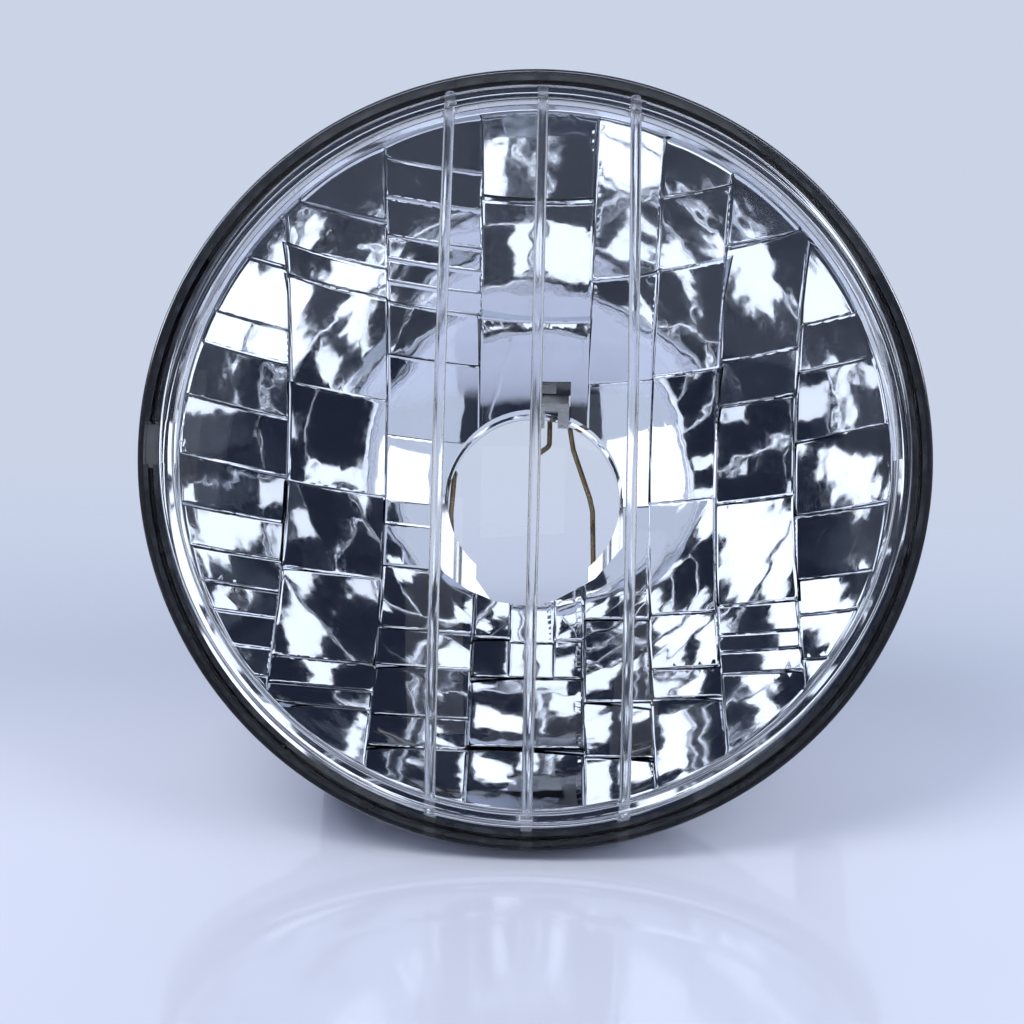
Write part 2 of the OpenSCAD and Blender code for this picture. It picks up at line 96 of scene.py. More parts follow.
class Recipe:
    """Short hand for adding and joining the nodes of one tree."""

    def __init__(self, tree: bpy.types.NodeTree) -> None:
        """Keeps the tree that the nodes go into."""
        self.tree = tree

    def add(self, kind: str, settings: dict[str, object] | None = None, **sockets: object) -> bpy.types.Node:
        """Adds a node and sets it up.

        Args:
            kind: Blender's name of the node.
            settings: Values for the node's own properties.
            **sockets: Values or sockets for its inputs, by name with underscores for spaces,
                or by number as in i0, i1.

        Returns:
            The new node.
        """
        node = self.tree.nodes.new(kind)
        for key, value in (settings or {}).items():
            setattr(node, key, value)
        for key, value in sockets.items():
            numbered = key[0] == "i" and key[1:].isdigit()
            socket = node.inputs[int(key[1:]) if numbered else key.replace("_", " ")]
            if isinstance(value, bpy.types.NodeSocket):
                self.tree.links.new(value, socket)
            else:
                socket.default_value = value
        return node

    def maths(self, operation: str, *values: object) -> bpy.types.NodeSocket:
        """Adds a Math node.

        Args:
            operation: What it works out.
            *values: Numbers or sockets for its inputs.

        Returns:
            Its output.
        """
        inputs = {f"i{k}": value for k, value in enumerate(values)}
        return self.add("ShaderNodeMath", {"operation": operation}, **inputs).outputs[0]

    def ramp(self, value: bpy.types.NodeSocket, low: float, high: float,
             start: float = 0.0, end: float = 1.0) -> bpy.types.NodeSocket:
        """Maps a value smoothly from one span to another.

        Args:
            value: The socket to map.
            low: Where the span starts.
            high: Where the span ends.
            start: Result at low and below.
            end: Result at high and above.

        Returns:
            The mapped value.
        """
        node = self.add("ShaderNodeMapRange", {"interpolation_type": "SMOOTHSTEP"}, Value=value, From_Min=low,
                        From_Max=high, To_Min=start, To_Max=end)
        return node.outputs[0]

    def blend(self, share: object, first: object, second: object) -> bpy.types.NodeSocket:
        """Mixes two colours.

        Args:
            share: How much of the second is taken.
            first: The first colour or socket.
            second: The second colour or socket.

        Returns:
            The mixed colour.
        """
        node = self.tree.nodes.new("ShaderNodeMix")
        node.data_type = "RGBA"
        for index, value in ((0, share), (6, first), (7, second)):
            if isinstance(value, bpy.types.NodeSocket):
                self.tree.links.new(value, node.inputs[index])
            elif index == 0:
                node.inputs[0].default_value = value
            else:
                node.inputs[index].default_value = (*value, 1.0)
        return node.outputs[2]

    def place(self) -> bpy.types.NodeSocket:
        """Gives the place on the piece, in the piece's own metres."""
        return self.add("ShaderNodeTexCoord").outputs["Object"]

    def noise(self, scale: float, detail: float = 2.0, stretch: Triple = EVEN) -> bpy.types.NodeSocket:
        """Adds an even noise over the piece.

        Args:
            scale: Waves in a metre.
            detail: How many finer layers it has.
            stretch: Scale of the noise along each axis.

        Returns:
            A value from 0 to 1.
        """
        where = self.place()
        if stretch != EVEN:
            where = self.add("ShaderNodeMapping", Vector=where, Scale=stretch).outputs[0]
        return self.add("ShaderNodeTexNoise", Vector=where, Scale=scale, Detail=detail).outputs[0]

    def bump(self, height: bpy.types.NodeSocket, depth: float) -> bpy.types.NodeSocket:
        """Turns a height into a bent normal.

        Args:
            height: Height from 0 to 1.
            depth: Metres that 1 stands for.

        Returns:
            The normal.
        """
        return self.add("ShaderNodeBump", Height=height, Distance=depth, Strength=1.0).outputs[0]


def new_material(name: str) -> tuple[bpy.types.Material, Recipe, bpy.types.Node]:
    """Makes a material with one plain shader.

    Args:
        name: The material's name.

    Returns:
        The material, its recipe and its shader node.
    """
    material = bpy.data.materials.new(name)
    material.use_nodes = True
    recipe = Recipe(material.node_tree)
    shader = next(n for n in material.node_tree.nodes if n.type == "BSDF_PRINCIPLED")
    return material, recipe, shader


def fill(recipe: Recipe, shader: bpy.types.Node, **sockets: object) -> None:
    """Sets or links several inputs of a shader.

    Args:
        recipe: The tree's recipe.
        shader: The shader node.
        **sockets: Values or sockets by input name, with underscores for spaces.
    """
    for key, value in sockets.items():
        socket = shader.inputs[key.replace("_", " ")]
        if isinstance(value, bpy.types.NodeSocket):
            recipe.tree.links.new(value, socket)
        else:
            socket.default_value = value


# Finishes


@dataclass(frozen=True)
class MirrorFinish:
    """Vacuum-metallised plastic on the facets."""

    colour: Colour = (0.86, 0.885, 0.93)
    shade: float = 0.93
    haze: float = 0.035
    haze_span: Point2 = (0.7, 1.6)
    ripple_mm: float = 0.08
    slow_waves: float = 110.0
    fine_waves: float = 900.0

    def material(self) -> bpy.types.Material:
        """Builds the material: a bright mirror with a faint ripple and light haze."""
        material, recipe, shader = new_material("facet_mirror")
        slow = recipe.noise(self.slow_waves, 1.5)
        fine = recipe.noise(self.fine_waves, 2.0)
        tint = recipe.blend(slow, self.colour, tuple(self.shade * c for c in self.colour))
        rough = recipe.ramp(fine, 0.35, 0.75, *(self.haze * share for share in self.haze_span))
        fill(recipe, shader, Metallic=1.0, Base_Color=tint, Roughness=rough,
             Normal=recipe.bump(slow, self.ripple_mm * MM))
        return material


@dataclass(frozen=True)
class MouldingFinish:
    """The reflector's moulded body: matt outside, metallised inside."""

    mirror: MirrorFinish
    vertex_mm: float
    focal_mm: float
    plastic: Colour = (0.52, 0.53, 0.54)
    plastic_shade: float = 0.86
    plastic_rough: float = 0.55
    cloud_waves: float = 60.0
    grain_waves: float = 2400.0
    grain_mm: float = 0.06
    mid_wall_mm: float = 1.4
    wall_front_mm: float = 58.0
    coat_blur_mm: float = 0.05
    coat_edge_mm: float = 76.15
    hole_edge_mm: float = 25.9
    hole_coat_mm: Point2 = (0.3, 0.6)
    rim_front_tone: Colour = (0.012, 0.013, 0.018)
    rim_front_edge_mm: Point2 = (60.8, 61.3)

    def material(self) -> bpy.types.Material:
        """Builds the material; the coat covers what lies in front of the middle of the wall."""
        material, recipe, shader = new_material("moulded_reflector")
        parts = recipe.add("ShaderNodeSeparateXYZ", Vector=recipe.place()).outputs
        forward = recipe.maths("MULTIPLY", parts[1], -TO_MM)
        across = recipe.maths("MULTIPLY", parts[0], TO_MM)
        up = recipe.maths("MULTIPLY", parts[2], TO_MM)
        square = recipe.maths("ADD", recipe.maths("POWER", across, 2.0), recipe.maths("POWER", up, 2.0))
        wall = recipe.maths("DIVIDE", square, 4 * self.focal_mm)
        wall = recipe.maths("ADD", wall, self.vertex_mm - self.mid_wall_mm)
        wall = recipe.maths("MINIMUM", wall, self.wall_front_mm)
        inside = recipe.ramp(recipe.maths("SUBTRACT", forward, wall), -self.coat_blur_mm, self.coat_blur_mm)
        # the coat also reaches round the edge of the bulb hole, nearly down to the seat
        hole = recipe.maths("MULTIPLY", recipe.maths("LESS_THAN", square, self.hole_edge_mm ** 2),
                            recipe.ramp(forward, *self.hole_coat_mm))
        inside = recipe.maths("MAXIMUM", inside, hole)
        reach = recipe.maths("LESS_THAN", square, self.coat_edge_mm ** 2)
        coated = recipe.maths("MULTIPLY", inside, reach)
        cloud = recipe.noise(self.cloud_waves, 4.0)
        grain = recipe.noise(self.grain_waves, 3.0)
        darker = tuple(self.plastic_shade * c for c in self.plastic)
        plain = recipe.blend(recipe.ramp(cloud, 0.3, 0.7), self.plastic, darker)
        # the plastic outside the coat turns near-black towards the rim's front edge
        rim_front_share = recipe.maths("MULTIPLY", recipe.maths("SUBTRACT", 1.0, reach),
                              recipe.ramp(recipe.maths("ADD", forward, cloud), *self.rim_front_edge_mm))
        colour = recipe.blend(rim_front_share, recipe.blend(coated, plain, self.mirror.colour), self.rim_front_tone)
        rough = recipe.ramp(coated, 0.0, 1.0, self.plastic_rough, self.mirror.haze)
        height = recipe.maths("MULTIPLY", grain, recipe.maths("SUBTRACT", 1.0, coated))
        fill(recipe, shader, Base_Color=colour, Metallic=coated, Roughness=rough,
             Normal=recipe.bump(height, self.grain_mm * MM))
        return material


@dataclass(frozen=True)
class LensFinish:
    """Clear hard-coated plastic of the lens, with slightly frosted ribs."""

    rib_pitch_mm: float
    tint: Colour = (0.975, 0.985, 1.0)
    bend: float = 1.3
    frost: float = 0.22
    rib_edge_mm: Point2 = (1.0, 1.3)
    rib_reach_mm: float = 21.0
    ripple_waves: float = 45.0
    ripple_mm: float = 0.012

    def material(self) -> bpy.types.Material:
        """Builds the material: clear, with a faint ripple, and rough only along the ribs."""
        material, recipe, shader = new_material("clear_lens")
        ripple = recipe.noise(self.ripple_waves, 1.0)
        side = recipe.add("ShaderNodeSeparateXYZ", Vector=recipe.place()).outputs[0]
        across = recipe.maths("MULTIPLY", side, TO_MM)
        from_rib = recipe.maths("PINGPONG", across, self.rib_pitch_mm / 2)
        near = recipe.ramp(from_rib, *self.rib_edge_mm, 1.0, 0.0)
        inner = recipe.maths("LESS_THAN", recipe.maths("ABSOLUTE", across), self.rib_reach_mm)
        frosted = recipe.maths("MULTIPLY", recipe.maths("MULTIPLY", near, inner), self.frost)
        fill(recipe, shader, Base_Color=(*self.tint, 1.0), Transmission_Weight=1.0, IOR=self.bend,
             Roughness=frosted, Normal=recipe.bump(ripple, self.ripple_mm * MM))
        return material


@dataclass(frozen=True)
class SealantFinish:
    """Soft black bonding bead."""

    colour: Colour = (0.012, 0.014, 0.02)
    bloom: Colour = (0.05, 0.055, 0.07)
    cloud_waves: float = 260.0
    rough_span: Point2 = (0.25, 0.6)
    lump_mm: float = 0.25

    def material(self) -> bpy.types.Material:
        """Builds the material: dark, uneven and a little shiny where it is pressed on the lens."""
        material, recipe, shader = new_material("black_sealant")
        cloud = recipe.noise(self.cloud_waves, 4.0)
        colour = recipe.blend(recipe.ramp(cloud, 0.45, 0.7), self.colour, self.bloom)
        fill(recipe, shader, Base_Color=colour, Roughness=recipe.ramp(cloud, 0.3, 0.7, *self.rough_span),
             Normal=recipe.bump(cloud, self.lump_mm * MM))
        return material


@dataclass(frozen=True)
class MetalFinish:
    """A plated or bare metal with a brushed or drawn grain."""

    name: str
    colour: Colour
    stain: Colour
    rough: float = 0.3
    grain: float = 1500.0
    stretch: Triple = EVEN
    stain_waves: float = 140.0
    rough_span: Point2 = (0.7, 1.5)
    depth_mm: float = 0.01

    def material(self) -> bpy.types.Material:
        """Builds the material: grain along one way and a thin uneven stain."""
        material, recipe, shader = new_material(self.name)
        grain = recipe.noise(self.grain, 3.0, self.stretch)
        cloud = recipe.noise(self.stain_waves, 4.0)
        colour = recipe.blend(recipe.ramp(cloud, 0.45, 0.75), self.colour, self.stain)
        fill(recipe, shader, Base_Color=colour, Metallic=1.0,
             Roughness=recipe.ramp(grain, 0.25, 0.75, *(self.rough * share for share in self.rough_span)),
             Normal=recipe.bump(grain, self.depth_mm * MM))
        return material


@dataclass(frozen=True)
class RubberFinish:
    """Matt moulded rubber."""

    colour: Colour = (0.022, 0.022, 0.024)
    dust: Colour = (0.06, 0.058, 0.055)
    grain_waves: float = 2600.0
    dust_waves: float = 220.0
    rough_span: Point2 = (0.55, 0.8)
    grain_mm: float = 0.05

    def material(self) -> bpy.types.Material:
        """Builds the material: a fine eroded grain with some dust."""
        material, recipe, shader = new_material("matt_rubber")
        grain = recipe.noise(self.grain_waves, 4.0)
        cloud = recipe.noise(self.dust_waves, 4.0)
        colour = recipe.blend(recipe.ramp(cloud, 0.5, 0.8), self.colour, self.dust)
        fill(recipe, shader, Base_Color=colour, Roughness=recipe.ramp(grain, 0.3, 0.7, *self.rough_span),
             Normal=recipe.bump(grain, self.grain_mm * MM))
        return material


WIRE_FINISH = MetalFinish("spring_wire", colour=(0.36, 0.27, 0.16), stain=(0.17, 0.13, 0.10), rough=0.28,
                          grain=1900.0, stretch=(1.0, 1.0, 0.25))
SHEET_FINISH = MetalFinish("zinc_sheet", colour=(0.62, 0.63, 0.65), stain=(0.5, 0.49, 0.45), rough=0.3,
                           grain=1300.0, stretch=(0.15, 1.0, 1.0))
SCREW_FINISH = MetalFinish("zinc_screw", colour=(0.5, 0.5, 0.52), stain=(0.36, 0.36, 0.37), rough=0.3,
                           grain=1500.0)
BRASS_FINISH = MetalFinish("turned_brass", colour=(0.74, 0.55, 0.24), stain=(0.52, 0.37, 0.16), rough=0.26,
                           grain=1700.0, stretch=(1.0, 0.15, 1.0))


# Mesh helpers


def mesh_object(name: str, points: Sequence[Vector], faces: Sequence[Sequence[int]]) -> bpy.types.Object:
    """Makes an object from points and faces.

    Args:
        name: The piece's name.
        points: Its points, in the frame's metres.
        faces: Point numbers of each face.

    Returns:
        The new object, at the origin.
    """
    mesh = bpy.data.meshes.new(name)
    mesh.from_pydata([tuple(p) for p in points], [], [tuple(f) for f in faces])
    mesh.validate()
    item = bpy.data.objects.new(name, mesh)
    bpy.context.scene.collection.objects.link(item)
    return item


def soften(item: bpy.types.Object, degrees: float) -> None:
    """Shades a piece smooth, with its edges sharp past an angle.

    Args:
        item: The piece.
        degrees: The angle.
    """
    item.data.shade_smooth()
    item.data.set_sharp_from_angle(angle=math.radians(degrees))


def outward(item: bpy.types.Object) -> None:
    """Merges a piece's doubled points and turns its faces outwards."""
    work = bmesh.new()
    work.from_mesh(item.data)
    bmesh.ops.remove_doubles(work, verts=work.verts, dist=SAME_PLACE)
    bmesh.ops.recalc_face_normals(work, faces=work.faces)
    work.to_mesh(item.data)
    work.free()


def settle(item: bpy.types.Object) -> None:
    """Replaces a piece's mesh with what its modifiers make, and takes the modifiers off."""
    graph = bpy.context.evaluated_depsgraph_get()
    made = bpy.data.meshes.new_from_object(item.evaluated_get(graph), preserve_all_data_layers=True,
                                           depsgraph=graph)
    item.modifiers.clear()
    item.data = made


def combine(item: bpy.types.Object, others: Iterable[bpy.types.Object]) -> None:
    """Joins a closed piece with others, which are then removed.

    Args:
        item: The piece that stays.
        others: The closed shapes to join to it.
    """
    others = list(others)
    for other in others:
        step = item.modifiers.new("shape", "BOOLEAN")
        step.operation = "UNION"
        step.solver = "MANIFOLD"
        step.object = other
    settle(item)
    for other in others:
        bpy.data.objects.remove(other)


def rounded(corners: Sequence[Triple], steps: int = 5, straight: float = 0.02,
            most: float = 0.48) -> list[Point2]:
    """Rounds the corners of a closed outline.

    Args:
        corners: Places with the radius of each corner.
        steps: Pieces of each round.
        straight: A corner that turns less than about twice this, in radians, stays as it is.
        most: Share of a side that one round may take.

    Returns:
        The outline's places.
    """
    made: list[Point2] = []
    count = len(corners)
    for k, (x, y, radius) in enumerate(corners):
        here = Vector((x, y))
        before = Vector(corners[k - 1][:2]) - here
        after = Vector(corners[(k + 1) % count][:2]) - here
        if radius <= 0 or before.length == 0 or after.length == 0:
            made.append((x, y))
            continue
        half = before.angle(after) / 2
        if half > math.pi / 2 - straight:
            made.append((x, y))
            continue
        reach = radius / math.tan(half)
        limit = most * min(before.length, after.length)
        if reach > limit:
            reach, radius = limit, limit * math.tan(half)
        first = here + before.normalized() * reach
        last = here + after.normalized() * reach
        centre = here + (before.normalized() + after.normalized()).normalized() * (radius / math.sin(half))
        a, b = first - centre, last - centre
        turn = math.atan2(a.x * b.y - a.y * b.x, a.dot(b))
        for s in range(steps + 1):
            angle = turn * s / steps
            made.append((centre.x + a.x * math.cos(angle) - a.y * math.sin(angle),
                         centre.y + a.x * math.sin(angle) + a.y * math.cos(angle)))
    return made


def lathe(name: str, outline: Sequence[Point2], sides: int, span: Point2 | None = None) -> bpy.types.Object:
    """Turns a closed outline round the optical axis.

    Args:
        name: The piece's name.
        outline: Distances from the axis and forward, in millimetres.
        sides: Steps of a full turn.
        span: Start and end angle in degrees of a part turn, or None for a full one.

    Returns:
        The closed object.
    """
    full = span is None
    start, end = (0.0, 360.0) if full else span
    steps = sides if full else max(2, round(sides * (end - start) / 360))
    count = len(outline)
    points, faces = [], []
    for k in range(steps if full else steps + 1):
        angle = math.radians(start + (end - start) * k / steps)
        for r, z in outline:
            points.append(row(r * math.cos(angle), r * math.sin(angle), z))
    rings = steps if full else steps + 1
    for k in range(steps):
        a, b = k * count, ((k + 1) % rings) * count
        for j in range(count):
            faces.append((a + j, a + (j + 1) % count, b + (j + 1) % count, b + j))
    if not full:
        faces.append(tuple(range(count)))
        faces.append(tuple(reversed(range(steps * count, (steps + 1) * count))))
    item = mesh_object(name, points, faces)
    outward(item)
    work = bmesh.new()
    work.from_mesh(item.data)
    bmesh.ops.dissolve_degenerate(work, dist=NO_LENGTH, edges=work.edges)
    work.to_mesh(item.data)
    work.free()
    return item


def bent_path(corners: Sequence[Vector], radius: float, steps: int = 8) -> list[Vector]:
    """Rounds the corners of a wire's middle line.

    Args:
        corners: Places that the wire runs through.
        radius: Radius of each bend.
        steps: Pieces of each bend.

    Returns:
        The places along the line.
    """
    made = [corners[0]]
    for k in range(1, len(corners) - 1):
        here = corners[k]
        u = (here - corners[k - 1]).normalized()
        v = (corners[k + 1] - here).normalized()
        turn = u.angle(v)
        n = (v - u * u.dot(v)).normalized()
        centre = here - u * radius * math.tan(turn / 2) + n * radius
        for s in range(steps + 1):
            f = turn * s / steps
            made.append(centre - n * radius * math.cos(f) + u * radius * math.sin(f))
    made.append(corners[-1])
    return made


# Geometry nodes


class GrownTree:
    """A geometry tree that starts with its named inputs and ends realised and dressed."""

    def __init__(self, name: str, inputs: dict[str, tuple[str, object]]) -> None:
        """Makes the tree.

        Args:
            name: The tree's name.
            inputs: Kind of socket and first value of each input, by name.
        """
        self.tree = bpy.data.node_groups.new(name, "GeometryNodeTree")
        face = self.tree.interface
        face.new_socket(name="Geometry", in_out="INPUT", socket_type="NodeSocketGeometry")
        self.names: dict[str, str] = {}
        for label, (kind, value) in inputs.items():
            socket = face.new_socket(name=label, in_out="INPUT", socket_type=kind)
            if value is not None:
                socket.default_value = value
            self.names[label] = socket.identifier
        face.new_socket(name="Geometry", in_out="OUTPUT", socket_type="NodeSocketGeometry")
        self.recipe = Recipe(self.tree)
        self.given = self.recipe.add("NodeGroupInput").outputs

    def finish(self, geometry: bpy.types.NodeSocket) -> None:
        """Ends the tree with a realised, smooth and dressed mesh.

        Args:
            geometry: What the tree has made.
        """
        add = self.recipe.add
        whole = add("GeometryNodeRealizeInstances", Geometry=geometry).outputs[0]
        whole = add("GeometryNodeSetShadeSmooth", Geometry=whole).outputs[0]
        dressed = add("GeometryNodeSetMaterial", Geometry=whole, Material=self.given["Material"]).outputs[0]
        self.tree.links.new(dressed, add("NodeGroupOutput").inputs[0])

    def grow(self, item: bpy.types.Object, values: dict[str, object]) -> None:
        """Runs the tree on a piece and keeps the plain mesh.

        Args:
            item: The piece that it starts from.
            values: Values for its inputs, by name.
        """
        step = item.modifiers.new(self.tree.name, "NODES")
        step.node_group = self.tree
        for label, value in values.items():
            step[self.names[label]] = value
        settle(item)


def sweep_tree() -> GrownTree:
    """Builds the tree that sweeps a round wire along a line.

    Returns:
        The tree, with the inputs Radius, Sides and Material.
    """
    grown = GrownTree("wire_sweep", {
        "Radius": ("NodeSocketFloat", 0.6 * MM),
        "Sides": ("NodeSocketInt", 24),
        "Material": ("NodeSocketMaterial", None)})
    add, given = grown.recipe.add, grown.given
    line = add("GeometryNodeMeshToCurve", Mesh=given["Geometry"]).outputs[0]
    ring = add("GeometryNodeCurvePrimitiveCircle", Resolution=given["Sides"],
               Radius=given["Radius"]).outputs[0]
    tube = add("GeometryNodeCurveToMesh", Curve=line, Profile_Curve=ring, Fill_Caps=True).outputs[0]
    grown.finish(tube)
    return grown


def lumps_tree() -> GrownTree:
    """Builds the tree that scatters small round lumps on the points of a line.

    Returns:
        The tree, with the inputs Least, Most, Seed and Material.
    """
    grown = GrownTree("bead_lumps", {
        "Least": ("NodeSocketFloat", 0.2 * MM),
        "Most": ("NodeSocketFloat", 0.6 * MM),
        "Seed": ("NodeSocketInt", 7),
        "Material": ("NodeSocketMaterial", None)})
    add, given = grown.recipe.add, grown.given
    lump = add("GeometryNodeMeshIcoSphere", Radius=1.0, Subdivisions=3).outputs[0]
    size = add("FunctionNodeRandomValue", {"data_type": "FLOAT"}, i2=given["Least"], i3=given["Most"],
               Seed=given["Seed"]).outputs[1]
    grown.finish(add("GeometryNodeInstanceOnPoints", Points=given["Geometry"], Instance=lump,
                     Scale=size).outputs[0])
    return grown


def ribs_tree() -> GrownTree:
    """Builds the tree that sets curved ribs side by side on the inner face of the lens.

    Returns:
        The tree, with the inputs Count, Pitch, Width, Bend and Material.
    """
    grown = GrownTree("lens_ribs", {
        "Count": ("NodeSocketInt", 3),
        "Pitch": ("NodeSocketFloat", 19 * MM),
        "Width": ("NodeSocketFloat", 2.2 * MM),
        "Bend": ("NodeSocketFloat", 284 * MM),
        "Material": ("NodeSocketMaterial", None)})
    add, given, maths = grown.recipe.add, grown.given, grown.recipe.maths
    line = add("GeometryNodeMeshToCurve", Mesh=given["Geometry"]).outputs[0]
    ring = add("GeometryNodeCurvePrimitiveCircle", Resolution=20,
               Radius=maths("DIVIDE", given["Width"], 2.0)).outputs[0]
    rib = add("GeometryNodeCurveToMesh", Curve=line, Profile_Curve=ring, Fill_Caps=True).outputs[0]
    first = maths("MULTIPLY", maths("SUBTRACT", given["Count"], 1.0), maths("MULTIPLY", given["Pitch"], -0.5))
    start = add("ShaderNodeCombineXYZ", X=first).outputs[0]
    step = add("ShaderNodeCombineXYZ", X=given["Pitch"]).outputs[0]
    places = add("GeometryNodeMeshLine", Count=given["Count"], Start_Location=start, Offset=step).outputs[0]
    copies = add("GeometryNodeInstanceOnPoints", Points=places, Instance=rib).outputs[0]
    # a rib beside the middle lies deeper, because the inner face falls away there
    index = add("GeometryNodeInputIndex").outputs[0]
    beside = maths("ADD", maths("MULTIPLY", index, given["Pitch"]), first)
    bend = given["Bend"]
    square = maths("SUBTRACT", maths("MULTIPLY", bend, bend), maths("MULTIPLY", beside, beside))
    back = add("ShaderNodeCombineXYZ", Y=maths("SUBTRACT", bend, maths("SQRT", square))).outputs[0]
    grown.finish(add("GeometryNodeTranslateInstances", Instances=copies, Translation=back,
                     Local_Space=False).outputs[0])
    return grown


def point_line(name: str, points: Sequence[Vector]) -> bpy.types.Object:
    """Makes an object that is one open line of points, for a tree to work on."""
    mesh = bpy.data.meshes.new(name)
    mesh.from_pydata([tuple(p) for p in points], [(k, k + 1) for k in range(len(points) - 1)], [])
    item = bpy.data.objects.new(name, mesh)
    bpy.context.scene.collection.objects.link(item)
    return item


def place_piece(item: bpy.types.Object, rider: Rider, slot: Slot, *nodes: str) -> bpy.types.Object:
    """Attaches a finished piece to its body and hides the solids that it stands for.

    Args:
        item: The piece.
        rider: The body that it moves with.
        slot: The record's slot for its finish; not used.
        *nodes: The solids that it stands for, if any.

    Returns:
        The same piece.
    """
    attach(item, rider.value)
    if nodes:
        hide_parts(*nodes)
    log.info("%s rides on %s", item.name, rider.value)
    return item


def dress(item: bpy.types.Object, material: bpy.types.Material) -> None:
    """Gives a piece one material in all its slots."""
    item.data.materials.clear()
    item.data.materials.append(material)


def node_object(name: str) -> bpy.types.Object:
    """Finds the object of a solid of the frame."""
    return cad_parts[name]


def dress_node(name: str, material: bpy.types.Material) -> None:
    """Gives a solid of the frame its finish.

    Args:
        name: The solid's name.
        material: The finish.
    """
    item = node_object(name)
    if not item.material_slots:
        item.data.materials.append(material)
    for slot in item.material_slots:
        slot.material = material
    log.info("%s is dressed as %s", name, material.name)


# The reflector


@dataclass
class FacetSkin:
    """The mirrored facets, each a curved patch with a softened border."""

    focal: float = 24.0
    vertex: float = 6.0
    mouth: float = 72.0
    curve: float = 1.12
    tilt: float = 1.4
    step: float = 0.35
    # degrees that each next facet turns the waves of its sink and its two tilts by
    waves: Triple = (59.0, 327.0, 130.0)
    column_step: int = 7
    proud: float = 0.1
    thick: float = 0.6
    edge: float = 0.3
    edge_drop: float = 0.07
    sharp_deg: float = 50.0
    grid: float = 1.3
    grid_shift: Point2 = (0.37, 0.21)
    grid_end: float = 0.8
    weld: float = 1e-4
    round_sides: int = 360
    hole: float = 19.7
    # each column's left and right edge, and its rows' edges from the top down
    columns: tuple[tuple[float, float, tuple[float, ...]], ...] = (
        (-72, -52.5, (72, 48, 40, 28.5, 22, 11, -1.3, -11.5, -20, -27, -33, -40, -46, -72)),
        (-52.5, -32.5, (72, 52, 44, 38.7, 18.5, -2, -21, -41, -47, -51.3, -72)),
        (-32.5, -12.5, (72, 62.5, 56.5, 50, 46, 42, 38, 28, 11.5, -2.7, -8, -17.5, -32, -40.5, -52, -59,
                        -72)),
        (-12.5, 11.5, (72, 58, 37.3, 0)),
        (-12.5, -4.5, (0, -33, -42)),
        (-4.5, 5, (0, -33.7, -42)),
        (5, 11.5, (0, -33, -42)),
        (-12.5, 11.5, (-42, -58, -72)),
        (11.5, 25.5, (72, 45, 25, -2, -28, -47.5, -60, -72)),
        (25.5, 39.5, (72, 58, 45.7, 25.7, -1.3, -27.3, -40, -46.8, -72)),
        (39.5, 55, (72, 48, 27, 18, -3, -26.3, -33, -37, -42, -72)),
        (55, 72, (48, 31, 22, 8, -8, -22, -30, -40, -48)))
    # the relief for the wire below the hole, and the catch's window: left, right, low and high
    relief: tuple[Point2, ...] = ((-20.3, 0), (-20.3, -17.5), (-14, -21.8), (-8, -24.2), (0, -25),
                                  (5, -23.6), (14, -18.4), (19.9, -11.2), (19.9, 0))
    window: tuple[float, float, float, float] = (-0.7, 7.7, 14.7, 25.5)

    def cells(self) -> list[tuple[float, float, float, float, int]]:
        """Lists each facet's left, right, low and high edge and its number."""
        made = []
        for c, (left, right, rows) in enumerate(self.columns):
            made += [(left, right, rows[k + 1], rows[k], self.column_step * c + k)
                     for k in range(len(rows) - 1)]
        return made

    def centre(self, cell: tuple[float, float, float, float, int]) -> tuple[Vector, float]:
        """Works out the sphere that a facet is a piece of.

        Args:
            cell: The facet's edges and number.

        Returns:
            The sphere's middle and radius.
        """
        left, right, low, high, n = cell
        x, y = (left + right) / 2, (low + high) / 2
        two_f = 2 * self.focal
        r = math.hypot(x, y)
        lean_x = math.atan(-x / two_f)
        lean_y = math.atan(y / two_f * math.cos(lean_x))
        sink = self.step * (0.5 + 0.5 * math.sin(math.radians(n * self.waves[0])))
        a = lean_y + math.radians(self.tilt * math.cos(math.radians(n * self.waves[1])))
        b = lean_x + math.radians(self.tilt * math.sin(math.radians(n * self.waves[2])))
        radius = self.curve * two_f * (1 + (r / two_f) ** 2)
        foot = Vector((x, y, self.vertex + r * r / (4 * self.focal) - sink))
        up = Vector((math.cos(a) * math.sin(b), -math.sin(a), math.cos(a) * math.cos(b)))
        return foot + up * radius, radius

    def is_open(self, x: float, y: float) -> bool:
        """Tells whether a place lies over the bulb hole, its relief or the catch's window."""
        if x * x + y * y < self.hole ** 2:
            return True
        left, right, low, high = self.window
        if left < x < right and low < y < high:
            return True
        inside, j = False, len(self.relief) - 1
        for i, (ax, ay) in enumerate(self.relief):
            bx, by = self.relief[j]
            if (ay > y) != (by > y) and x < (bx - ax) * (y - ay) / (by - ay) + ax:
                inside = not inside
            j = i
        return inside

    def plan(self) -> tuple[list[Vector], list[tuple[int, int, int]]]:
        """Divides the face of the bowl into small triangles that follow every border.

        Returns:
            The places and the triangles.
        """
        points: list[Vector] = []
        edges: list[tuple[int, int]] = []

        def border(places: Sequence[Point2]) -> None:
            """Adds a closed border, cut into short pieces."""
            first = len(points)
            for k, place in enumerate(places):
                a, b = Vector(place), Vector(places[(k + 1) % len(places)])
                pieces = max(1, math.ceil((b - a).length / self.grid))
                points.extend(a.lerp(b, s / pieces) for s in range(pieces))
            edges.extend((k, k + 1) for k in range(first, len(points) - 1))
            edges.append((len(points) - 1, first))

        def circle(radius: float) -> list[Point2]:
            """Gives the places round a circle about the axis."""
            angles = [math.tau * k / self.round_sides for k in range(self.round_sides)]
            return [(radius * math.cos(angle), radius * math.sin(angle)) for angle in angles]

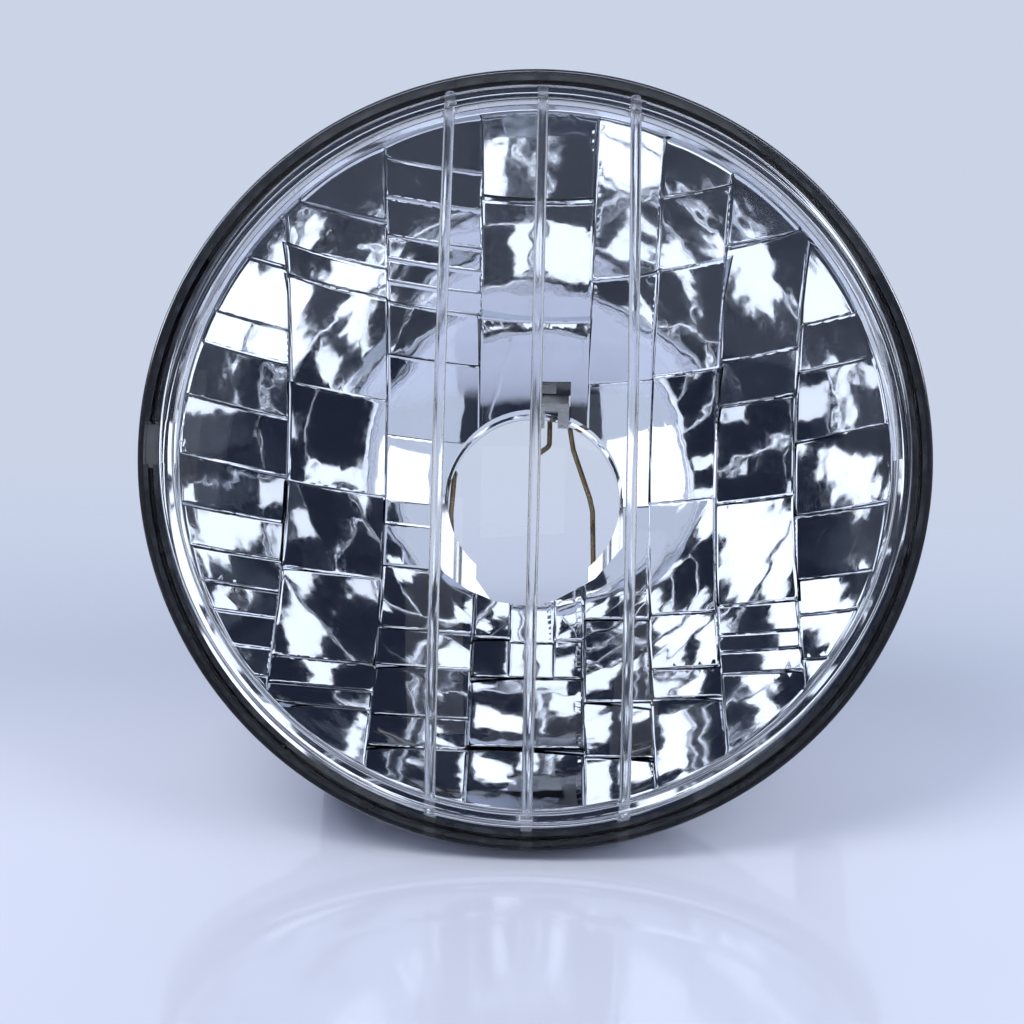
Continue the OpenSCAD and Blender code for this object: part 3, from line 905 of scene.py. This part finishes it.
        # a facet's border is dropped a little, and the two lines inside it keep the soft bend narrow
        insets = (0.0, self.edge, 2 * self.edge)
        for e in insets:
            border(circle(self.mouth - e))
        border(circle(self.hole))
        border(self.relief)
        left, right, low, high = self.window
        border(((left, low), (right, low), (right, high), (left, high)))
        for x0, x1, y0, y1, _ in self.cells():
            for e in insets:
                border(((x0 + e, y0 + e), (x1 - e, y0 + e), (x1 - e, y1 - e), (x0 + e, y1 - e)))
        steps = math.ceil(self.mouth / self.grid)
        for i in range(-steps, steps + 1):
            for j in range(-steps, steps + 1):
                x = (i + self.grid_shift[0]) * self.grid
                y = (j + self.grid_shift[1] + 0.5 * (i % 2)) * self.grid
                if math.hypot(x, y) < self.mouth - self.grid_end:
                    points.append(Vector((x, y)))
        verts, _, faces, *_ = delaunay_2d_cdt(points, edges, [], 0, self.weld)
        return verts, [tuple(f) for f in faces if len(f) == 3]

    def build(self) -> bpy.types.Object:
        """Builds the closed patches as one piece."""
        cells = self.cells()
        spheres = [self.centre(cell) for cell in cells]
        flat, triangles = self.plan()
        owners: dict[int, list[tuple[int, int, int]]] = {}
        for tri in triangles:
            x = sum(flat[v].x for v in tri) / 3
            y = sum(flat[v].y for v in tri) / 3
            if x * x + y * y > self.mouth ** 2 or self.is_open(x, y):
                continue
            for k, (x0, x1, y0, y1, _) in enumerate(cells):
                if x0 < x < x1 and y0 < y < y1:
                    owners.setdefault(k, []).append(tri)
                    break
        points: list[Vector] = []
        faces: list[tuple[int, ...]] = []
        for k, tris in owners.items():
            x0, x1, y0, y1, _ = cells[k]
            middle, radius = spheres[k]
            used = sorted({v for tri in tris for v in tri})
            base = len(points)
            number = {v: base + i for i, v in enumerate(used)}
            for v in used:
                x, y = flat[v].x, flat[v].y
                z = middle.z - math.sqrt(radius ** 2 - (x - middle.x) ** 2 - (y - middle.y) ** 2) + self.proud
                inset = min(x - x0, x1 - x, y - y0, y1 - y, self.mouth - math.hypot(x, y))
                if inset < self.edge * 0.5:
                    z -= self.edge_drop
                points.append(row(x, y, z))
            count = len(used)
            points.extend(p + Vector((0, self.thick * MM, 0)) for p in points[base:base + count])
            open_edges: dict[tuple[int, int], None] = {}
            for a, b, c in tris:
                ia, ib, ic = number[a], number[b], number[c]
                faces.append((ia, ib, ic))
                faces.append((ic + count, ib + count, ia + count))
                for e in ((ia, ib), (ib, ic), (ic, ia)):
                    if (e[1], e[0]) in open_edges:
                        del open_edges[(e[1], e[0])]
                    else:
                        open_edges[e] = None
            faces.extend((b, a, a + count, b + count) for a, b in open_edges)
        item = mesh_object("facet_skin", points, faces)
        soften(item, self.sharp_deg)
        return item


@dataclass
class Reflector:
    """The moulded reflector: its own solid for the back and seat, with the facet skin in the bowl."""

    skin: FacetSkin = field(default_factory=FacetSkin)
    mirror: MirrorFinish = field(default_factory=MirrorFinish)

    def build(self) -> None:
        """Builds the skin and dresses the solid."""
        dress_node("reflector", MouldingFinish(self.mirror, self.skin.vertex, self.skin.focal).material())
        item = self.skin.build()
        dress(item, self.mirror.material())
        place_piece(item, Rider.HOUSING, Slot.MIRROR)


# The lens


@dataclass
class Lens:
    """The clear lens with its rim, raised front, ribs, tongue and key."""

    rim_r: float = 80.0
    rim_low: float = 63.5
    rim_top: float = 66.0
    dome_r: float = 75.0
    inner_r: float = 72.5
    sphere_r: float = 286.25
    inner_sphere_r: float = 283.75
    sphere_z: float = -205.25
    tongue: Point2 = (77.1, 78.1)
    tongue_low: float = 58.5
    key: Point2 = (76.13, 79.07)
    key_half: float = 4.5
    key_lap: float = 1.2
    crown_round: float = 0.9
    rib_count: int = 3
    rib_pitch: float = 19.0
    rib_width: float = 2.2
    rib_lap: float = 0.9
    rib_steps: int = 60
    sides: int = 320
    key_sides: int = 720
    sharp_deg: float = 28.0

    def cap(self, radius: float, reach: float, steps: int = 40) -> list[Triple]:
        """Gives the places along a spherical cap from the axis outwards.

        Args:
            radius: The sphere's radius.
            reach: Distance from the axis where it ends.
            steps: How many pieces it has.

        Returns:
            Places with a corner radius of 0, apart from the last one's.
        """
        made = []
        for k in range(steps + 1):
            r = reach * k / steps
            made.append((r, self.sphere_z + math.sqrt(radius ** 2 - r * r), 0.0))
        made[-1] = (*made[-1][:2], self.crown_round)
        return made

    def outline(self) -> list[Point2]:
        """Gives the closed outline of the lens, from the axis out and back."""
        front = self.cap(self.sphere_r, self.dome_r)
        back = self.cap(self.inner_sphere_r, self.inner_r)
        low, high = self.tongue
        return rounded([
            *front, (self.dome_r, self.rim_top, 0.5), (self.rim_r, self.rim_top, 0.35),
            (self.rim_r, self.rim_low, 0.25), (high, self.rim_low, 0.15), (high, self.tongue_low, 0.2),
            (low, self.tongue_low, 0.2), (low, self.rim_low, 0.15), (self.inner_r, self.rim_low, 0.2),
            *reversed(back)])

    def ribs(self) -> bpy.types.Object:
        """Grows the ribs on the inner face."""
        bend = self.inner_sphere_r
        reach = math.asin((self.inner_r + self.rib_lap) / bend)
        angles = [reach * (2 * k / self.rib_steps - 1) for k in range(self.rib_steps + 1)]
        path = [row(0.0, bend * math.sin(t), self.sphere_z + bend * math.cos(t)) for t in angles]
        item = point_line("lens_ribs", path)
        ribs_tree().grow(item, {"Count": self.rib_count, "Pitch": self.rib_pitch * MM,
                                "Width": self.rib_width * MM, "Bend": bend * MM})
        outward(item)
        return item

    def build(self) -> None:
        """Builds the lens as one closed piece."""
        item = lathe("lens_moulding", self.outline(), self.sides)
        half = math.degrees(self.key_half / self.rim_r)
        low, high = self.key
        top = self.rim_low + self.key_lap
        outline = rounded([(low, self.tongue_low, 0.2), (high, self.tongue_low, 0.2), (high, top, 0),
                           (low, top, 0)])
        key = lathe("lens_key", outline, self.key_sides, (180 - half, 180 + half))
        combine(item, [self.ribs(), key])
        outward(item)
        soften(item, self.sharp_deg)
        dress(item, LensFinish(self.rib_pitch).material())
        # the clear lens keeps no lamp light from what lies behind it
        item.visible_shadow = False
        place_piece(item, Rider.HOUSING, Slot.LENS, "lens")


@dataclass
class SealantBead:
    """The bonding bead in the rim's channel, with the lumps that show through the rim."""

    seed: int = 11
    radius: float = 78.55
    sway: float = 0.3
    forward: float = 63.1
    least: float = 0.12
    most: float = 0.38
    jitter: float = 0.4
    jitter_beat: float = 12.9898
    sway_beat: float = 7.3
    # start and end angle of each stretch with lumps, and how many it has
    spans: tuple[tuple[float, float, int], ...] = (
        (268, 296, 34), (204, 232, 16), (20, 62, 18), (120, 150, 12))

    def build(self) -> None:
        """Dresses the bead and scatters its lumps."""
        finish = SealantFinish().material()
        dress_node("lens_sealant", finish)
        points = []
        for k, (start, end, count) in enumerate(self.spans):
            for i in range(count):
                # an uneven but fixed spacing
                shift = self.jitter * math.sin(self.seed * (k + 1) + i * self.jitter_beat)
                angle = math.radians(start + (end - start) * (i + 0.5 + shift) / count)
                r = self.radius + self.sway * math.sin(i * self.sway_beat + k)
                points.append(row(r * math.cos(angle), r * math.sin(angle), self.forward))
        item = point_line("sealant_lumps", points)
        lumps_tree().grow(item, {"Least": self.least * MM, "Most": self.most * MM, "Seed": self.seed,
                                 "Material": finish})
        place_piece(item, Rider.HOUSING, Slot.SEALANT)


# Wires and sheet metal


@dataclass
class SpringWires:
    """The bent wire that holds the bulb and swings on the hinge plate."""

    wire_r: float = 0.6
    wire_sides: int = 28
    sharp_deg: float = 50.0
    back: float = 6.0
    bend: float = 1.6
    tip: float = 4.0
    left: tuple[Point2, ...] = ((-18.3, 8), (-18.9, -1.7), (-18.2, -15.2), (-5.5, -25))
    right: tuple[Point2, ...] = ((5.5, -25), (14, -16), (13.5, -0.5), (12.8, 2.5), (8.8, 13.8), (8, 18.5),
                                 (7.3, 24.2), (3.3, 24.2), (3.3, 14.5), (0.8, 12.6))

    def build(self) -> None:
        """Sweeps the wire along its bends."""
        finish = WIRE_FINISH.material()
        tree = sweep_tree()
        flat = [Vector((x, y, -self.back)) for x, y in (*self.left, *self.right)]
        corners = [flat[0] - Vector((0, 0, self.tip)), *flat]
        path = [row(*p) for p in bent_path(corners, self.bend)]
        wire = point_line("clip_wire", path)
        tree.grow(wire, {"Radius": self.wire_r * MM, "Sides": self.wire_sides, "Material": finish})
        outward(wire)
        soften(wire, self.sharp_deg)
        place_piece(wire, Rider.CLIP, Slot.WIRE, "retaining_wire")


@dataclass
class Hardware:
    """Plates, screws, inserts and rubber caps on the back, which keep their own solids."""

    plates: tuple[str, ...] = ("hinge_plate", "catch_bracket")
    screws: tuple[str, ...] = ("hinge_screw_left", "hinge_screw_right", "catch_screw")
    inserts: tuple[str, ...] = ("lug_insert_1", "lug_insert_2", "lug_insert_3", "lug_insert_4")
    caps: tuple[str, ...] = ("breather_cap_left", "breather_cap_right")

    def build(self) -> None:
        """Dresses the solids."""
        for finish, names in ((SHEET_FINISH, self.plates), (SCREW_FINISH, self.screws),
                              (BRASS_FINISH, self.inserts), (RubberFinish(), self.caps)):
            material = finish.material()
            for name in names:
                dress_node(name, material)


# The studio


@dataclass(frozen=True)
class Lamp:
    """One soft square lamp."""

    name: str
    place: Triple
    size: float
    power: float
    tint: Colour = (1.0, 1.0, 1.0)


@dataclass(frozen=True)
class Softbox:
    """One softbox in front of the camera's card, by its place and size on that card."""

    x: float
    up: float
    width: float
    height: float
    glow: float


@dataclass
class CameraView:
    """The photographed view: from a little below the axis, with the rim's middle at its pixel."""

    focus: Triple = (0.0, -0.066, 0.0)
    distance: float = 0.5
    below: float = 10.8
    roll: float = 1.3
    focal_mm: float = 87.4
    sensor_mm: float = 36.0
    frame_px: int = 1024
    aim_px: Point2 = (535.0, 449.5)
    clip: Point2 = (0.01, 50.0)

    def back(self) -> Vector:
        """Gives the direction from the unit to the camera."""
        lean = math.radians(self.below)
        return Vector((0.0, -math.cos(lean), -math.sin(lean)))

    def top(self) -> Vector:
        """Gives the direction that is upwards for the camera, before its roll."""
        lean = math.radians(self.below)
        return Vector((0.0, -math.sin(lean), math.cos(lean)))

    def build(self) -> None:
        """Places the camera so that the rim's middle falls where the photograph has it."""
        data = bpy.data.cameras.new("camera")
        data.lens = self.focal_mm
        data.sensor_width = self.sensor_mm
        data.clip_start, data.clip_end = self.clip
        item = bpy.data.objects.new("camera", data)
        bpy.context.scene.collection.objects.link(item)
        bpy.context.scene.camera = item
        focus = Vector(self.focus)
        item.location = focus + self.back() * self.distance
        ahead = (focus - item.location).normalized()
        side = ahead.cross(Vector((0, 0, 1))).normalized()
        top = side.cross(ahead).normalized()
        turn = Matrix((side, top, -ahead)).transposed()
        # the roll, then the small turn that puts the rim's middle at its pixel
        pixels = self.frame_px * self.focal_mm / self.sensor_mm
        centre = self.frame_px / 2
        dx, dy = (self.aim_px[0] - centre) / pixels, (centre - self.aim_px[1]) / pixels
        roll = Matrix.Rotation(math.radians(self.roll), 3, "Z")
        pan = Matrix.Rotation(math.atan(dx), 3, "Y") @ Matrix.Rotation(-math.atan(dy), 3, "X")
        item.matrix_world = Matrix.Translation(item.location) @ (turn @ roll @ pan).to_4x4()


@dataclass
class Floor:
    """The pale floor that the leaning unit rests on, with a painted shade behind the unit, which fades out at
    its edge.
    """

    near: Colour = (0.69, 0.72, 0.855)
    painted_shade_tone: Colour = (0.53, 0.575, 0.70)
    lean: float = 30.0
    touch: Point2 = (-0.060, -0.0803)
    middle_behind: float = 0.05
    gap: float = 0.0002
    reach: float = 0.6
    rings: int = 12
    sides: int = 96
    rough: float = 0.08
    specular: float = 0.8
    cloud_waves: float = 30.0
    shade: float = 0.97
    # distances behind the line of contact where the painted shade comes in and where the floor fades, and
    # from the floor's middle
    painted_shade_span: Point2 = (0.03, 0.10)
    back_fade: Point2 = (0.09, 0.26)
    round_fade: Point2 = (0.3, 0.55)

    def along(self) -> Vector:
        """Gives the direction in which the floor runs away from the camera."""
        lean = math.radians(self.lean)
        return Vector((0, math.cos(lean), math.sin(lean)))

    def middle(self) -> Vector:
        """Gives the floor's middle, a little behind the contact and a hair below it."""
        lean = math.radians(self.lean)
        up = Vector((0, -math.sin(lean), math.cos(lean)))
        return Vector((0, *self.touch)) + self.along() * self.middle_behind - up * self.gap

    def disc(self) -> bpy.types.Object:
        """Makes the round floor in rings of small faces."""
        middle, along, sides = self.middle(), self.along(), self.sides
        points = [middle]
        faces = []
        for i in range(1, self.rings + 1):
            for k in range(sides):
                angle = math.tau * k / sides
                r = self.reach * i / self.rings
                across = Vector((1, 0, 0)) * (r * math.cos(angle))
                points.append(middle + across + along * (r * math.sin(angle)))
        for k in range(sides):
            faces.append((0, 1 + k, 1 + (k + 1) % sides))
            for i in range(self.rings - 1):
                a, b = 1 + i * sides, 1 + (i + 1) * sides
                faces.append((a + k, b + k, b + (k + 1) % sides, a + (k + 1) % sides))
        return mesh_object("floor", points, faces)

    def material(self) -> bpy.types.Material:
        """Builds the floor's finish: pale and glossy, with a painted shade behind the contact, clear at its
        edge and from below.
        """
        material, recipe, shader = new_material("pale_floor")
        place = recipe.place()
        along = self.along()
        behind = recipe.add("ShaderNodeVectorMath", {"operation": "DOT_PRODUCT"}, i0=place,
                            i1=tuple(along)).outputs["Value"]
        start = Vector((0, *self.touch)).dot(along)
        cloud = recipe.noise(self.cloud_waves, 3.0)
        pale = recipe.blend(cloud, self.near, tuple(self.shade * c for c in self.near))
        # painted shade: the floor turns darker behind the line of contact, standing in for a soft shadow band
        tint = recipe.blend(recipe.ramp(behind, *(start + d for d in self.painted_shade_span)), pale, self.painted_shade_tone)
        fill(recipe, shader, Base_Color=tint, Roughness=self.rough, Specular_IOR_Level=self.specular)
        away = recipe.add("ShaderNodeVectorMath", {"operation": "DISTANCE"}, i0=place,
                          i1=tuple(self.middle())).outputs["Value"]
        fade = recipe.maths("MULTIPLY", recipe.ramp(behind, *(start + d for d in self.back_fade), 1.0, 0.0),
                            recipe.ramp(away, *self.round_fade, 1.0, 0.0))
        above = recipe.maths("SUBTRACT", 1.0, recipe.add("ShaderNodeNewGeometry").outputs["Backfacing"])
        shown = recipe.maths("MULTIPLY", fade, above)
        clear = recipe.add("ShaderNodeBsdfTransparent").outputs[0]
        mixed = recipe.add("ShaderNodeMixShader", i0=shown, i1=clear, i2=shader.outputs[0]).outputs[0]
        end = next(n for n in material.node_tree.nodes if n.type == "OUTPUT_MATERIAL")
        recipe.tree.links.new(mixed, end.inputs[0])
        return material

    def build(self) -> None:
        """Lays the floor."""
        item = self.disc()
        item.data.materials.append(self.material())


@dataclass
class Studio:
    """Floor, world, lamps, cards and camera, placed for the photographed view."""

    backdrop: Colour = (0.597, 0.658, 0.799)
    world_span: Point2 = (0.75, 1.0)
    view: CameraView = field(default_factory=CameraView)
    floor: Floor = field(default_factory=Floor)
    lamp_target: Triple = (0.0, -0.03, 0.0)
    lamps: tuple[Lamp, ...] = (
        Lamp("key", (-0.7, -0.8, 0.9), 0.8, 9.0, (1.0, 0.99, 0.97)),
        Lamp("fill", (0.9, -0.6, 0.5), 0.9, 5.0, (0.95, 0.98, 1.0)),
        Lamp("back", (0.2, 0.9, 0.8), 0.9, 6.0))
    dark: Colour = (0.018, 0.023, 0.04)
    soft_white: Colour = (1.65, 1.73, 1.9)
    card_target: Triple = (0.0, -0.05, 0.0)
    camera_card: Point2 = (1.3, 1.15)
    camera_card_away: float = 0.9
    softboxes_away: float = 0.88
    softboxes: tuple[Softbox, ...] = (
        Softbox(-0.17, 0.02, 0.10, 0.42, 1.0),
        Softbox(0.19, -0.02, 0.08, 0.40, 0.9),
        Softbox(-0.02, 0.24, 0.15, 0.17, 0.9),
        Softbox(0.03, -0.17, 0.20, 0.05, 0.8),
        Softbox(0.14, 0.37, 0.15, 0.14, 1.0),
        Softbox(0.045, 0.03, 0.07, 0.05, 0.75))
    upper_angle: float = 58.0
    upper_away: float = 0.8
    upper_card: Point2 = (0.8, 0.34)
    upper_strip: Point2 = (0.8, 0.03)
    strip_share: float = 0.97
    left_place: Triple = (-0.70, -0.49, 0.02)
    left_softbox: Point2 = (0.6, 0.5)
    right_place: Triple = (0.70, -0.49, 0.05)
    right_softbox: Point2 = (0.26, 0.3)

    def world(self) -> None:
        """Sets a pale even world, which camera, mirrors and glass see as the backdrop."""
        world = bpy.data.worlds.new("world")
        bpy.context.scene.world = world
        world.use_nodes = True
        recipe = Recipe(world.node_tree)
        world.node_tree.nodes.clear()
        paths = recipe.add("ShaderNodeLightPath").outputs
        seen = recipe.maths("MAXIMUM", paths["Is Camera Ray"],
                            recipe.maths("MAXIMUM", paths["Is Glossy Ray"], paths["Is Transmission Ray"]))
        strength = recipe.ramp(seen, 0.0, 1.0, *self.world_span)
        ground = recipe.add("ShaderNodeBackground", Color=(*self.backdrop, 1.0), Strength=strength).outputs[0]
        end = recipe.add("ShaderNodeOutputWorld")
        recipe.tree.links.new(ground, end.inputs[0])

    def hang_lamp(self, lamp: Lamp) -> None:
        """Adds one lamp that faces the unit and that mirrors and glass don't show.

        Args:
            lamp: The lamp.
        """
        data = bpy.data.lights.new(lamp.name, "AREA")
        data.size = lamp.size
        data.energy = lamp.power
        data.color = lamp.tint
        item = bpy.data.objects.new(lamp.name, data)
        bpy.context.scene.collection.objects.link(item)
        item.location = lamp.place
        item.visible_glossy = False
        item.visible_transmission = False
        facing = Vector(self.lamp_target) - Vector(lamp.place)
        item.rotation_euler = facing.to_track_quat("-Z", "Y").to_euler()

    def card(self, name: str, place: Sequence[float], size: Point2, colour: Colour,
             target: Sequence[float] | None = None, glossy: bool = True) -> None:
        """Adds a flat card or softbox that only mirrors and glass see.

        Args:
            name: The card's name.
            place: Its middle.
            size: Its width and height in metres.
            colour: Its brightness in each colour, where 1 is white.
            target: The place that it faces, or None for the cards' own.
            glossy: Whether outer surfaces mirror it, and not only what lies behind the lens.
        """
        middle = Vector(place)
        facing = (Vector(self.card_target if target is None else target) - middle).normalized()
        side = facing.cross(Vector((0, 0, 1))).normalized()
        top = side.cross(facing).normalized()
        w, h = size[0] / 2, size[1] / 2
        corners = [middle + side * (a * w) + top * (b * h) for a, b in ((-1, -1), (1, -1), (1, 1), (-1, 1))]
        item = mesh_object(name, corners, [(0, 1, 2, 3)])
        material = bpy.data.materials.new(name)
        material.use_nodes = True
        material.node_tree.nodes.clear()
        recipe = Recipe(material.node_tree)
        glow = recipe.add("ShaderNodeEmission", Color=(*colour, 1.0), Strength=1.0).outputs[0]
        end = recipe.add("ShaderNodeOutputMaterial")
        recipe.tree.links.new(glow, end.inputs[0])
        item.data.materials.append(material)
        item.visible_camera = False
        item.visible_diffuse = False
        item.visible_glossy = glossy
        item.visible_shadow = False

    def cards(self) -> None:
        """Hangs the dark card round the camera with its softboxes, the upper card and the side softboxes."""
        back, top = self.view.back(), self.view.top()
        focus = Vector(self.view.focus)
        self.card("camera_card", focus + back * self.camera_card_away, self.camera_card, self.dark, focus)
        for i, box in enumerate(self.softboxes):
            place = focus + back * self.softboxes_away + Vector((1, 0, 0)) * box.x + top * box.up
            bright = tuple(box.glow * c for c in self.soft_white)
            self.card(f"softbox_{i}", place, (box.width, box.height), bright, focus, False)
        angle = math.radians(self.upper_angle)
        over = Vector((0, -math.cos(angle), math.sin(angle))) * self.upper_away
        self.card("upper_card", over, self.upper_card, self.dark)
        self.card("upper_strip", over * self.strip_share, self.upper_strip, self.soft_white)
        self.card("left_softbox", self.left_place, self.left_softbox, self.soft_white, glossy=False)
        self.card("right_softbox", self.right_place, self.right_softbox, self.soft_white, glossy=False)

    def build(self) -> None:
        """Builds the whole studio."""
        bpy.context.scene.view_settings.view_transform = "Standard"
        self.world()
        self.floor.build()
        self.view.build()
        for lamp in self.lamps:
            self.hang_lamp(lamp)
        self.cards()
        log.info("the studio is ready")


def main() -> None:
    """Builds the unit in order."""
    logging.basicConfig(level=logging.INFO, format="%(name)s: %(message)s")
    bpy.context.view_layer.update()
    Studio().build()
    Reflector().build()
    Lens().build()
    SealantBead().build()
    SpringWires().build()
    Hardware().build()


if __name__ == "__main__":
    main()
